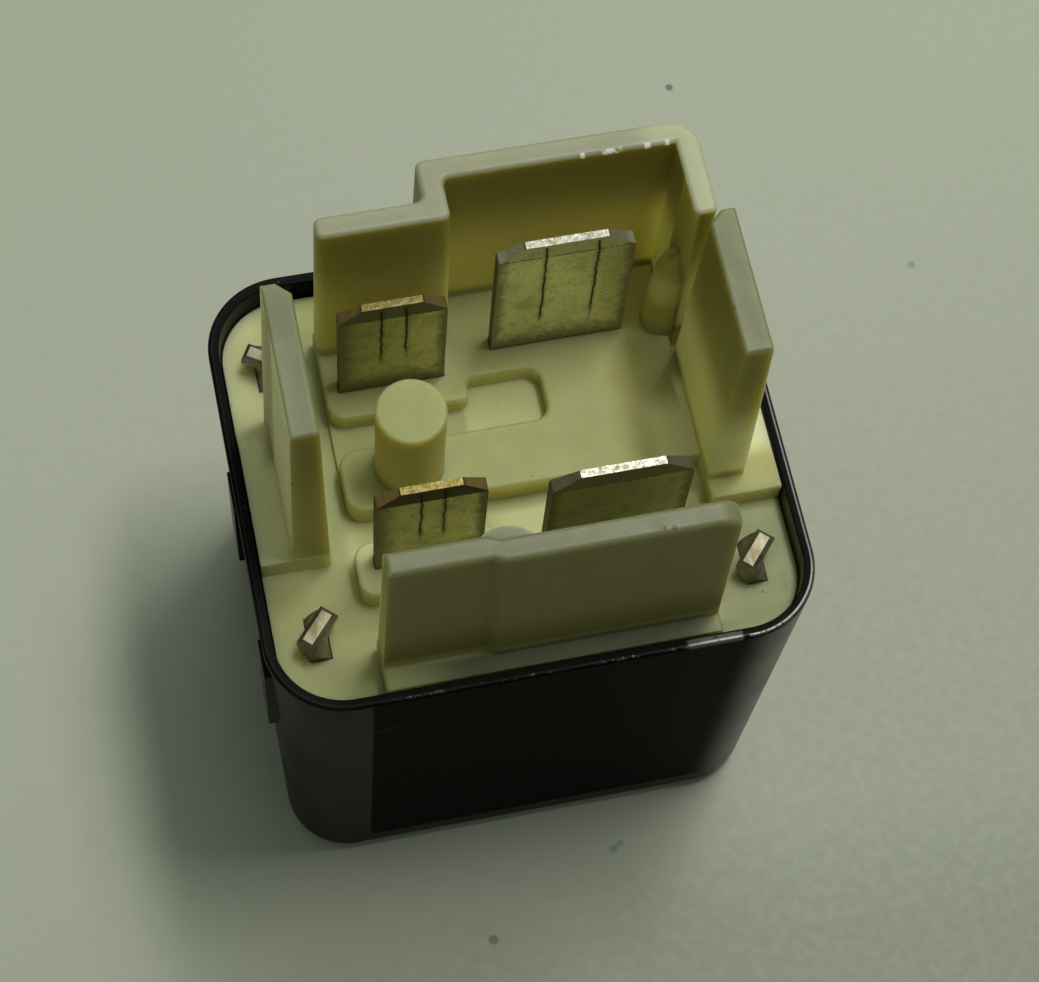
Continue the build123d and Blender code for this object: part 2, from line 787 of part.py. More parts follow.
# The winding's two ends, each brought out over the tape to its terminal's tail
lead_z = winding_high - lead_radius - winding_gap
lead_start = winding_radius + lead_radius + winding_gap
for name, tail_face, side in (
    ("coil_lead_back", coil_back_y - blade_thickness / 2, 1),
    ("coil_lead_front", coil_front_y + blade_thickness / 2, -1),
):
    reach = tail_face - side * (lead_radius + winding_gap)
    with BuildPart() as lead:
        with BuildLine() as lead_path:
            Spline(
                (-lead_start * 0.8, side * lead_start * 0.6, lead_z),
                (coil_tail_x + coil_tail_width / 2, reach, lead_z),
                (coil_tail_x - coil_tail_width / 4, reach, lead_z + lead_radius),
                tangents=((-0.6, side * 0.8, 0), (-1, 0, 0)),
            )
        with BuildSketch(Plane(origin=lead_path.line @ 0, z_dir=lead_path.line % 0)):
            Circle(lead_radius)
        sweep()
    lead.part.label = name
    export_step(lead.part, "parts/" + name + ".step")

# Armature: a clapper plate that tips on the yoke's edge
hinge_front = -leg_outer + yoke_thickness + hinge_depth
tail_length = hinge_front - spring_x + tail_reach
with BuildPart() as armature:
    with BuildSketch(Plane.XY.offset(armature_under)) as clapper:
        with BuildLine():
            Polyline(
                (-leg_outer, -hinge_half + hinge_clearance),
                (hinge_front, -hinge_half + hinge_clearance),
                (hinge_front, -armature_half),
                (armature_nose - hinge_depth, -armature_half),
                (armature_nose, -armature_nose_half),
                (armature_nose, armature_nose_half),
                (armature_nose - hinge_depth, armature_half),
                (hinge_front, armature_half),
                (hinge_front, hinge_half - hinge_clearance),
                (-leg_outer, hinge_half - hinge_clearance),
                close=True,
            )
        make_face()
        fillet(clapper.vertices(), wall_corner)
        with Locations((spring_x - tail_reach, 0)):
            Rectangle(tail_length, 2 * tail_half, align=(Align.MIN, Align.CENTER))
        with Locations((spring_x, 0)):
            Circle(spring_tail_hole, mode=Mode.SUBTRACT)
        with Locations((rivet_low_x, 0), (rivet_high_x, 0)):
            Circle(rivet_radius + rivet_fit, mode=Mode.SUBTRACT)
    extrude(amount=armature_thickness)
armature.part.label = "armature"
export_step(armature.part, "parts/armature.step")

# Contact leaf on top of the armature
with BuildPart() as contact_leaf:
    with BuildSketch(Plane.XY.offset(leaf_under)) as leaf:
        tip = contact_x + contact_radius + leaf_tip_margin
        with BuildLine():
            Polyline(
                (leaf_tail, -leaf_half),
                (armature_nose, -leaf_half),
                (contact_x, -contact_radius - leaf_tip_margin),
                (tip, -contact_radius),
                (tip, contact_radius),
                (contact_x, contact_radius + leaf_tip_margin),
                (armature_nose, leaf_half),
                (leaf_tail, leaf_half),
                close=True,
            )
        make_face()
        fillet(leaf.vertices(), wall_corner)
        with Locations((rivet_low_x, 0), (rivet_high_x, 0)):
            Circle(rivet_radius + rivet_fit, mode=Mode.SUBTRACT)
        with Locations((contact_x, 0)):
            Circle(contact_tail_radius + rivet_fit, mode=Mode.SUBTRACT)
    extrude(amount=leaf_thickness)
contact_leaf.part.label = "contact_leaf"
export_step(contact_leaf.part, "parts/contact_leaf.step")

# Two rivets hold the leaf to the armature
with BuildPart() as leaf_rivets:
    with BuildSketch(Plane.XY.offset(armature_under + stack_gap)):
        with Locations((rivet_low_x, 0), (rivet_high_x, 0)):
            Circle(rivet_radius)
    extrude(amount=leaf_top + 2 * stack_gap - armature_under)
    with BuildSketch(Plane.XY.offset(leaf_top + stack_gap)):
        with Locations((rivet_low_x, 0), (rivet_high_x, 0)):
            Circle(rivet_head_radius)
    extrude(amount=rivet_head_height)
    head_tops = leaf_rivets.faces().filter_by_position(
        Axis.Z, leaf_top + rivet_head_height, leaf_top + 2 * rivet_head_height
    )
    fillet(head_tops.edges(), rim_round)
leaf_rivets.part.label = "leaf_rivets"
export_step(leaf_rivets.part, "parts/leaf_rivets.step")

# Contact buttons: one riveted in the leaf, one in the fixed terminal's arm
with BuildPart() as moving_contact:
    with Locations((contact_x, 0, moving_contact_z)):
        Cylinder(
            contact_radius,
            moving_contact_height - stack_gap,
            align=(Align.CENTER, Align.CENTER, Align.MIN),
        )
        Cylinder(
            contact_tail_radius,
            moving_contact_height + leaf_thickness + contact_dome,
            align=(Align.CENTER, Align.CENTER, Align.MIN),
        )
    fillet(moving_contact.faces().sort_by(Axis.Z)[0].edges(), contact_dome)
moving_contact.part.label = "moving_contact"
export_step(moving_contact.part, "parts/moving_contact.step")

with BuildPart() as fixed_contact:
    with Locations((contact_x, 0, arm_top + stack_gap)):
        Cylinder(
            contact_radius,
            fixed_contact_height - stack_gap,
            align=(Align.CENTER, Align.CENTER, Align.MIN),
        )
    with Locations((contact_x, 0, arm_low)):
        Cylinder(
            contact_tail_radius,
            blade_thickness + fixed_contact_height / 2,
            align=(Align.CENTER, Align.CENTER, Align.MIN),
        )
    fillet(fixed_contact.faces().sort_by(Axis.Z)[-1].edges(), contact_dome)
fixed_contact.part.label = "fixed_contact"
export_step(fixed_contact.part, "parts/fixed_contact.step")

# Return spring: close turns in the yoke's window, straight ends in the tail's hole and the window's foot
spring_low = spring_window_floor + spring_hook
spring_high = armature_under - spring_hook
with BuildPart() as return_spring:
    with BuildLine() as spring_path:
        turns = Helix(
            pitch=(spring_high - spring_low) / spring_turns,
            height=spring_high - spring_low,
            radius=spring_radius,
            center=(spring_x, 0, spring_low),
        )
        Spline(
            turns @ 1,
            (spring_x, 0, armature_top + spring_rise),
            tangents=(turns % 1, (0, 0, 1)),
        )
        Spline(
            (spring_x, 0, spring_low - spring_hook + spring_wire + stack_gap),
            turns @ 0,
            tangents=((0, 0, 1), turns % 0),
        )
    with BuildSketch(Plane(origin=spring_path.line @ 0, z_dir=spring_path.line % 0)):
        Circle(spring_wire)
    sweep()
return_spring.part.label = "return_spring"
export_step(return_spring.part, "parts/return_spring.step")

# Braid from the common terminal's shoulder to the leaf's tail
braid_z = base_under - shoulder_height / 2
braid_face = load_back_y - blade_thickness / 2
braid_start = load_x + braid_offset
braid_end_y = rivet_head_radius + braid_radius + braid_gap
with BuildPart() as braid:
    with BuildLine() as braid_path:
        Spline(
            (braid_start, braid_face - braid_radius - stack_gap, braid_z),
            ((braid_start + coil_x) / 2, braid_face - 2.6, braid_z - braid_radius / 2),
            (coil_x, braid_end_y, braid_z - braid_radius),
            (braid_end_inset - leg_x, braid_end_y, leaf_top + braid_radius + 2 * stack_gap),
            tangents=((-1, 0, 0), (-1, 0, 0)),
        )
    with BuildSketch(Plane(origin=braid_path.line @ 0, z_dir=braid_path.line % 0)):
        Circle(braid_radius)
    sweep()
braid.part.label = "braid"
export_step(braid.part, "parts/braid.step")
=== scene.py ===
import bpy
import math
from mathutils import Matrix, Vector


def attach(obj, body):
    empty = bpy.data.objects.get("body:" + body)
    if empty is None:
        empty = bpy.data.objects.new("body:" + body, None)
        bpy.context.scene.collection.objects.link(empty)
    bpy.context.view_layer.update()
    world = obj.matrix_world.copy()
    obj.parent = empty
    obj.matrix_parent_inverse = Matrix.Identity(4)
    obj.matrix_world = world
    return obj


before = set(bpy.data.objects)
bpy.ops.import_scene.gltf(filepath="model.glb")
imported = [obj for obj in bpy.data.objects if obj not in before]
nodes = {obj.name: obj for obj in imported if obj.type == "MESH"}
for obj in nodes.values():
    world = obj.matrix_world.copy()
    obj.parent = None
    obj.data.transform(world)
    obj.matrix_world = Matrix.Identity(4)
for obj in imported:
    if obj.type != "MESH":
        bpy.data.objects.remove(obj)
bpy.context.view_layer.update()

# Sizes and places of the model's parts, in millimetres of the row frame. Heights go from the can's rim
RIM = 30.4
PLATFORM = RIM - 0.1
FRONT_WALL_TOP = RIM + 13.5
BACK_WALL_TOP = RIM + 14.0
FIN_TOP = RIM + 15.8
LOAD_TOP = RIM + 11.4
COIL_TOP = RIM + 9.4
CAN_HALF_LENGTH = 16.25
CAN_HALF_WIDTH = 14.0
CAN_CORNER = 4.7
LOAD_X = 4.4
LOAD_HALF = 4.0
COIL_X = -5.85
COIL_HALF = 3.15

# Camera: solved from the blades, the rim and the can's outline in the photograph
camera_data = bpy.data.cameras.new("camera")
camera_data.sensor_width = 36.0
camera_data.lens = 92.48
camera_data.clip_start = 0.01
camera_data.clip_end = 5.0
camera = bpy.data.objects.new("camera", camera_data)
bpy.context.scene.collection.objects.link(camera)
right = Vector((0.97701, -0.20665, 0.05237))
up = Vector((0.16864, 0.89945, 0.40319))
back = Vector((-0.13042, -0.38509, 0.91362))
pose = Matrix((right, up, back)).transposed().to_4x4()
pose.translation = Vector((-0.020212, -0.062683, 0.173067))
camera.matrix_world = pose
bpy.context.scene.camera = camera
bpy.context.scene.view_settings.view_transform = "Standard"


class Nodes:
    """Short calls for building a material's node tree. Lengths are millimetres in the row frame."""

    def __init__(self, name):
        self.material = bpy.data.materials.new(name)
        self.material.use_nodes = True
        self.tree = self.material.node_tree
        self.tree.nodes.clear()
        output = self.tree.nodes.new("ShaderNodeOutputMaterial")
        self.shader = self.tree.nodes.new("ShaderNodeBsdfPrincipled")
        self.tree.links.new(self.shader.outputs[0], output.inputs[0])
        where = self.tree.nodes.new("ShaderNodeTexCoord")
        self.here = self.vector("SCALE", where.outputs["Object"], scale=1000.0)
        self.x, self.y, self.z = self.split(self.here)
        self.nx, self.ny, self.nz = self.split(where.outputs["Normal"])

    def put(self, socket, value):
        if isinstance(value, bpy.types.NodeSocket):
            self.tree.links.new(value, socket)
        elif isinstance(value, (tuple, list)) and socket.type == "RGBA" and len(value) == 3:
            socket.default_value = (*value, 1.0)
        else:
            socket.default_value = value

    def split(self, value):
        node = self.tree.nodes.new("ShaderNodeSeparateXYZ")
        self.put(node.inputs[0], value)
        return node.outputs

    def vector(self, operation, a, b=(1.0, 1.0, 1.0), scale=1.0):
        node = self.tree.nodes.new("ShaderNodeVectorMath")
        node.operation = operation
        self.put(node.inputs[0], a)
        if operation == "SCALE":
            node.inputs["Scale"].default_value = scale
        else:
            self.put(node.inputs[1], b)
        return node.outputs[0]

    def math(self, operation, a, b=0.0):
        node = self.tree.nodes.new("ShaderNodeMath")
        node.operation = operation
        self.put(node.inputs[0], a)
        self.put(node.inputs[1], b)
        return node.outputs[0]

    def add(self, a, b):
        return self.math("ADD", a, b)

    def times(self, first, *others):
        for other in others:
            first = self.math("MULTIPLY", first, other)
        return first

    def most(self, first, *others):
        for other in others:
            first = self.math("MAXIMUM", first, other)
        return first

    def opposite(self, mask):
        return self.add(self.times(mask, -1.0), 1.0)

    def size(self, value):
        return self.math("ABSOLUTE", value)

    def length(self, a, b):
        return self.math("SQRT", self.add(self.times(a, a), self.times(b, b)))

    def step(self, value, low, high, start=0.0, end=1.0):
        """Smooth change from start to end while value goes from low to high."""
        node = self.tree.nodes.new("ShaderNodeMapRange")
        node.interpolation_type = "SMOOTHSTEP"
        self.put(node.inputs["Value"], value)
        if low > high:
            low, high, start, end = high, low, end, start
        node.inputs["From Min"].default_value = low
        node.inputs["From Max"].default_value = high
        node.inputs["To Min"].default_value = start
        node.inputs["To Max"].default_value = end
        return node.outputs[0]

    def near(self, value, centre, half, soft):
        """1 within half of centre, fading to 0 over soft."""
        return self.step(self.size(self.add(value, -centre)), half + soft, half)

    def area(self, x, y):
        """1 inside a rectangle seen from above. x and y are each a centre, a half width and a soft edge."""
        return self.times(self.near(self.x, *x), self.near(self.y, *y))

    def spot(self, x, y, z, radius):
        """1 at this point, fading to 0 at the radius."""
        away = self.vector("SUBTRACT", self.here, (x, y, z))
        node = self.tree.nodes.new("ShaderNodeVectorMath")
        node.operation = "LENGTH"
        self.put(node.inputs[0], away)
        return self.step(node.outputs["Value"], radius, radius * 0.5)

    def noise(self, scale, detail=3.0, rough=0.55, stretch=(1.0, 1.0, 1.0), shift=0.0, warp=0.0):
        node = self.tree.nodes.new("ShaderNodeTexNoise")
        place = self.vector("MULTIPLY", self.here, stretch)
        if shift:
            place = self.vector("ADD", place, (shift, shift * 0.7, shift * 1.3))
        self.put(node.inputs["Vector"], place)
        node.inputs["Scale"].default_value = scale
        node.inputs["Detail"].default_value = detail
        node.inputs["Roughness"].default_value = rough
        node.inputs["Distortion"].default_value = warp
        return node.outputs["Fac"]

    def cells(self, scale, shift=0.0):
        """Distance to scattered points, for specks."""
        node = self.tree.nodes.new("ShaderNodeTexVoronoi")
        place = self.vector("ADD", self.here, (shift, shift * 0.7, shift * 1.3))
        self.put(node.inputs["Vector"], place)
        node.inputs["Scale"].default_value = scale
        return node.outputs["Distance"]

    def blend(self, share, a, b):
        """Colour a where share is 0, b where it is 1."""
        node = self.tree.nodes.new("ShaderNodeMix")
        node.data_type = "RGBA"
        self.put(node.inputs["Factor"], share)
        self.put(node.inputs[6], a)
        self.put(node.inputs[7], b)
        return node.outputs[2]

    def paint(self, colour, *layers):
        """Lays each (mask, strength, colour) over what is there."""
        for mask, strength, layer in layers:
            colour = self.blend(self.times(mask, strength), colour, layer)
        return colour

    def between(self, share, a, b):
        """Number a where share is 0, b where it is 1."""
        node = self.tree.nodes.new("ShaderNodeMix")
        node.data_type = "FLOAT"
        self.put(node.inputs["Factor"], share)
        self.put(node.inputs[2], a)
        self.put(node.inputs[3], b)
        return node.outputs[0]

    def bump(self, height, distance):
        """Relief of this height in millimetres."""
        node = self.tree.nodes.new("ShaderNodeBump")
        node.inputs["Strength"].default_value = 1.0
        node.inputs["Distance"].default_value = distance / 1000.0
        self.put(node.inputs["Height"], height)
        self.put(self.shader.inputs["Normal"], node.outputs[0])

    def set(self, **values):
        for name, value in values.items():
            self.put(self.shader.inputs[name.replace("_", " ")], value)


def dress(names, material):
    for name in names:
        mesh = nodes[name].data
        mesh.materials.clear()
        mesh.materials.append(material)


# Black lacquered can: fine orange peel, faint scratches, a matt panel and a rim rubbed bright
n = Nodes("can_lacquer")
peel = n.noise(2.2, 2.0, 0.5)
smear = n.noise(0.16, 4.0, 0.6, shift=4.0)
hairs = n.noise(1.6, 3.0, 0.7, stretch=(0.12, 0.12, 2.5), shift=9.0)
broken = n.noise(1.3, 5.0, 0.7, shift=17.0)
fine = n.noise(4.5, 4.0, 0.7, shift=23.0)
dust = n.step(n.cells(0.9, shift=3.0), 0.075, 0.05)
panel = n.times(
    n.step(n.x, -10.75, -10.55),
    n.step(n.x, 12.4, 10.8),
    n.step(n.ny, -0.7, -0.9),
    n.step(n.z, 2.6, 3.0),
)
# Distance inwards from the rim's outer outline, for the worn line along it
past_x = n.most(n.add(n.size(n.x), CAN_CORNER - CAN_HALF_LENGTH), 0.0)
past_y = n.most(n.add(n.size(n.y), CAN_CORNER - CAN_HALF_WIDTH), 0.0)
inward = n.add(n.times(n.length(past_x, past_y), -1.0), CAN_CORNER)
rim = n.step(n.z, RIM - 0.4, RIM - 0.1)
flat_rim = n.times(rim, n.step(inward, 0.22, 0.32))
line = n.times(rim, n.near(n.add(inward, n.times(n.add(broken, -0.5), 0.1)), 0.16, 0.05, 0.06))
corner = n.times(n.step(n.x, 11.0, 11.4), n.step(n.y, -9.5, -10.6), n.step(fine, 0.34, 0.48))
front = n.times(
    n.step(n.y, -13.0, -13.3),
    n.step(n.x, -10.5, -8.0),
    n.step(broken, 0.5, 0.6),
    n.step(fine, 0.42, 0.6),
)
patch = n.times(
    n.area((9.3, 1.5, 0.25), (-13.75, 0.24, 0.06)),
    n.step(n.z, RIM - 0.3, RIM - 0.1),
    n.step(fine, 0.28, 0.45),
)
notch = n.near(n.x, 11.15, 0.14, 0.06)
worn = n.most(n.times(line, n.most(corner, front), 0.8), n.times(patch, 0.75))
worn = n.times(worn, n.opposite(notch))
# One curved scratch under the rim at the front left
scratch = n.times(
    n.near(n.length(n.add(n.x, 12.4), n.add(n.z, -29.9)), 5.2, 0.03, 0.05),
    n.step(n.x, -10.9, -10.5),
    n.step(n.x, -8.6, -9.2),
    n.step(n.ny, -0.8, -0.95),
)
black = n.blend(n.step(smear, 0.35, 0.7), (0.003, 0.0034, 0.0026), (0.0055, 0.0063, 0.0048))
gloss = n.add(
    n.between(panel, n.step(smear, 0.3, 0.75, 0.3, 0.4), 0.5),
    n.step(hairs, 0.6, 0.8, 0.0, 0.12),
)
n.set(
    Base_Color=n.paint(
        black,
        (panel, 0.8, (0.0012, 0.0016, 0.001)),
        (dust, 0.35, (0.14, 0.14, 0.12)),
        (scratch, 0.5, (0.10, 0.10, 0.08)),
        (worn, 1.0, (0.13, 0.14, 0.115)),
    ),
    Metallic=n.times(worn, 0.6),
    Roughness=n.most(n.times(flat_rim, 0.75), gloss),
    Specular_IOR_Level=n.times(
        n.between(flat_rim, n.step(n.x, 11.8, 15.0, 0.06, 0.7), 0.1),
        n.between(panel, 1.0, 0.3),
    ),
)
n.bump(n.add(n.times(peel, 0.5), n.times(n.step(hairs, 0.62, 0.8), -0.25)), 0.012)
dress(["can"], n.material)

# Cream nylon: painted shade, saturated olive, in the depth, paler and greyer wall tops that are partly
# scuffs and partly painted sheen, small dark specks
n = Nodes("base_nylon")
mottle = n.noise(0.22, 4.0, 0.6, shift=2.0)
grain = n.noise(6.0, 2.0, 0.6)
flow = n.noise(0.8, 3.0, 0.6, stretch=(1.0, 1.0, 0.25), shift=7.0)
grime = n.step(n.noise(0.7, 5.0, 0.7, shift=21.0), 0.58, 0.75)
broken = n.step(n.noise(4.0, 3.0, 0.6, shift=33.0), 0.45, 0.55)
specks = n.step(n.cells(0.33, shift=5.0), 0.045, 0.03)
upright = n.step(n.size(n.nz), 0.5, 0.15)
facing_front = n.step(n.ny, -0.5, -0.9)
below_rim = n.step(n.z, RIM + 0.2, PLATFORM)

# Floor: painted shade, warm and saturated, beside the right fin, pale painted light where light comes
# through the walls, painted shade at the left wall and in the front right corner
# Painted shade: the floor beside the right fin tinted warm and saturated as it looks in shade
fin_shade_tint = n.times(n.step(n.x, 5.5, 8.5), n.step(n.y, 9.0, 4.0), n.step(n.y, -5.5, -3.5))
by_fin = n.area((10.1, 0.9, 1.4), (-1.0, 1.4, 2.5))
fin_foot = n.times(
    n.step(n.x, 10.5, 10.8),
    n.near(n.y, 0.3, 2.0, 1.5),
    n.step(n.z, RIM + 1.2, RIM + 0.4),
)
mid_floor = n.area((1.2, 1.8, 2.0), (-3.9, 0.7, 0.6))
left_of_post = n.times(n.area((-8.8, 0.9, 1.0), (-4.6, 1.6, 1.6)), n.step(n.nz, 0.3, 0.8))
recess = n.times(n.area((0.7, 2.4, 0.3), (3.6, 1.9, 0.4)), n.step(n.z, RIM - 0.6, RIM - 1.1))
left_edge = n.times(
    n.step(n.x, -12.0, -13.5),
    n.step(n.y, -6.0, -3.0),
    n.step(n.y, 3.2, 4.0, 1.0, 0.45),
)
# Painted light: the floor made pale by the fin, in the middle, left of the post, in the recess, at the
# fin's foot and along the left edge
floor_light_glow = n.most(
    by_fin,
    n.times(mid_floor, 0.4),
    n.times(left_of_post, 0.5),
    n.times(recess, 0.3),
    fin_foot,
    left_edge,
)
# Painted shade at the left wall's outer foot
dark_patch = n.area((-13.1, 0.5, 0.9), (2.8, 0.5, 0.9))
# Painted shade in the front right corner, by the right fin and the front wall
front_right_corner_shade = n.times(n.step(n.x, 9.5, 11.0), n.step(n.y, -5.0, -6.5))
cream = n.paint(
    n.blend(n.step(mottle, 0.3, 0.7), (0.33, 0.345, 0.125), (0.37, 0.39, 0.155)),
    (fin_shade_tint, 0.8, (0.42, 0.40, 0.12)),
    (floor_light_glow, 0.9, (0.80, 0.80, 0.40)),
    (dark_patch, 0.5, (0.20, 0.18, 0.06)),
    (front_right_corner_shade, 0.6, (0.20, 0.22, 0.10)),
)

# Walls' inner faces: painted shade, deep olive at the top and darker on the front faces, with painted light
# glowing towards the floor
back_low_glow = n.times(
    n.step(n.y, 7.5, 8.5),
    n.step(n.z, RIM + 10.6, RIM + 4.6),
    n.step(n.x, 2.0, 9.0, 0.55, 0.9),
)
right_low_glow = n.times(n.step(n.x, 10.0, 11.0), n.step(n.z, RIM + 9.6, RIM + 4.1))
front_face_shade = n.times(n.step(n.y, -11.0, -11.5), facing_front)
front_low_shade = n.times(front_face_shade, n.step(n.z, RIM + 5.1, RIM + 1.6))
left_front_shade = n.times(n.step(n.x, -10.5, -11.0), facing_front)
pillar = n.area((10.4, 0.95, 0.3), (7.1, 1.35, 0.3))
inner_face_shading = n.paint(
    n.blend(n.step(n.z, RIM + 13.6, RIM + 3.6), (0.27, 0.245, 0.04), (0.56, 0.52, 0.15)),
    (back_low_glow, 1.0, (0.85, 0.8, 0.26)),
    (right_low_glow, 0.95, (0.92, 0.92, 0.52)),
    (front_face_shade, 1.0, (0.22, 0.2, 0.06)),
    (front_low_shade, 1.0, (0.17, 0.145, 0.035)),
    (n.times(pillar, n.step(n.ny, -0.2, -0.7)), 0.8, (0.42, 0.37, 0.08)),
    (left_front_shade, 0.5, (0.25, 0.22, 0.06)),
)
outside = n.most(
    n.step(n.ny, 0.3, 0.6),
    n.times(n.step(n.nx, -0.3, -0.6), n.step(n.x, -11.5, -12.5)),
    n.times(n.step(n.nx, 0.3, 0.6), n.step(n.x, 11.0, 12.0)),
)
# Where the painted shade and painted light of the walls go: upright faces that do not look outwards
shaded_wall = n.times(upright, n.step(n.z, RIM + 0.1, RIM + 1.2), n.opposite(outside))

# Painted light on the steps in the floor and at the back right, wall tops greyed as scuffs and painted
# sheen, painted shadow on the front wall's plinth, painted shade at the walls' feet, and small dark marks
# Painted light: the shaded lower steps under the rim painted pale
lit_low_step = n.times(upright, below_rim, n.step(n.ny, -0.2, -0.6))
# Painted light at the back right, by the return wall
back_right_glow = n.times(n.step(n.x, 7.5, 9.0), n.step(n.y, 5.5, 7.0), below_rim)
tops = n.times(n.step(n.z, FRONT_WALL_TOP - 1.3, FRONT_WALL_TOP - 0.4), n.step(n.nz, 0.04, 0.5))
# Wall tops: partly scuffs, partly painted sheen; darker on the fins and the front wall, paler at the back
# wall and the return wall
top_scuff_and_sheen = n.blend(n.step(n.y, 6.5, 8.0), (0.13, 0.145, 0.08), (0.27, 0.28, 0.19))
return_top = n.times(n.step(n.x, 8.5, 10.5), n.step(n.y, 5.5, 6.5))
top_scuff_and_sheen = n.blend(return_top, top_scuff_and_sheen, (0.40, 0.42, 0.28))
# Painted shadow of the front wall on its plinth
plinth_shadow = n.times(
    n.step(n.y, -11.9, -12.3),
    n.step(n.z, RIM + 0.6, RIM + 0.2),
    n.near(n.x, 1.5, 6.0, 5.0),
)
# Painted shade at the walls' feet
foot_shade = n.times(n.step(n.z, RIM + 1.2, RIM - 0.2), n.step(n.nz, 0.6, 0.2))
marks = n.most(
    n.spot(11.2, 10.3, 32.15, 0.2),
    n.spot(11.46, -0.77, FIN_TOP, 0.2),
    n.spot(2.94, 3.0, PLATFORM, 0.14),
    n.spot(5.35, -11.74, FRONT_WALL_TOP, 0.16),
    n.spot(5.85, -11.78, FRONT_WALL_TOP, 0.2),
)
# Painted glints along the inner edge of the back wall's top
edge_glints = n.most(
    n.near(n.x, 5.9, 0.08, 0.08),
    n.near(n.x, 9.65, 0.12, 0.1),
    n.near(n.x, 10.8, 0.08, 0.08),
    n.times(n.near(n.x, 7.6, 0.5, 0.1), broken),
)
back_edge = n.near(n.y, 11.02, 0.1, 0.06)
edge_glints = n.times(edge_glints, back_edge, n.step(n.z, BACK_WALL_TOP - 0.4, BACK_WALL_TOP - 0.25))
n.set(
    Base_Color=n.paint(
        cream,
        (shaded_wall, 0.9, inner_face_shading),
        # Painted light on the buttress's middle and painted shade, like the walls', on its upper part
        (n.times(pillar, n.step(n.z, RIM + 2.6, RIM + 4.2)), 1.0, (0.70, 0.65, 0.25)),
        (n.times(pillar, n.step(n.z, RIM + 5.2, RIM + 7.0)), 1.0, (0.42, 0.38, 0.09)),
        (lit_low_step, 0.6, (0.80, 0.76, 0.36)),
        (back_right_glow, 0.8, (0.75, 0.70, 0.24)),
        (tops, 0.85, top_scuff_and_sheen),
        (plinth_shadow, 0.9, (0.085, 0.10, 0.05)),
        (grime, 0.25, (0.20, 0.18, 0.07)),
        (foot_shade, 0.25, (0.24, 0.2, 0.06)),
        (specks, 0.8, (0.03, 0.027, 0.018)),
        (marks, 0.85, (0.04, 0.035, 0.02)),
        (edge_glints, 1.0, (0.95, 0.95, 0.9)),
    ),
    Roughness=n.step(flow, 0.3, 0.7, 0.44, 0.54),
    Specular_IOR_Level=n.between(tops, 0.3, 0.45),
    Subsurface_Weight=0.8,
    Subsurface_Radius=(1.0, 0.85, 0.4),
    Subsurface_Scale=0.0035,
)
n.bump(grain, 0.012)
nylon = n.material
dress(["base"], nylon)


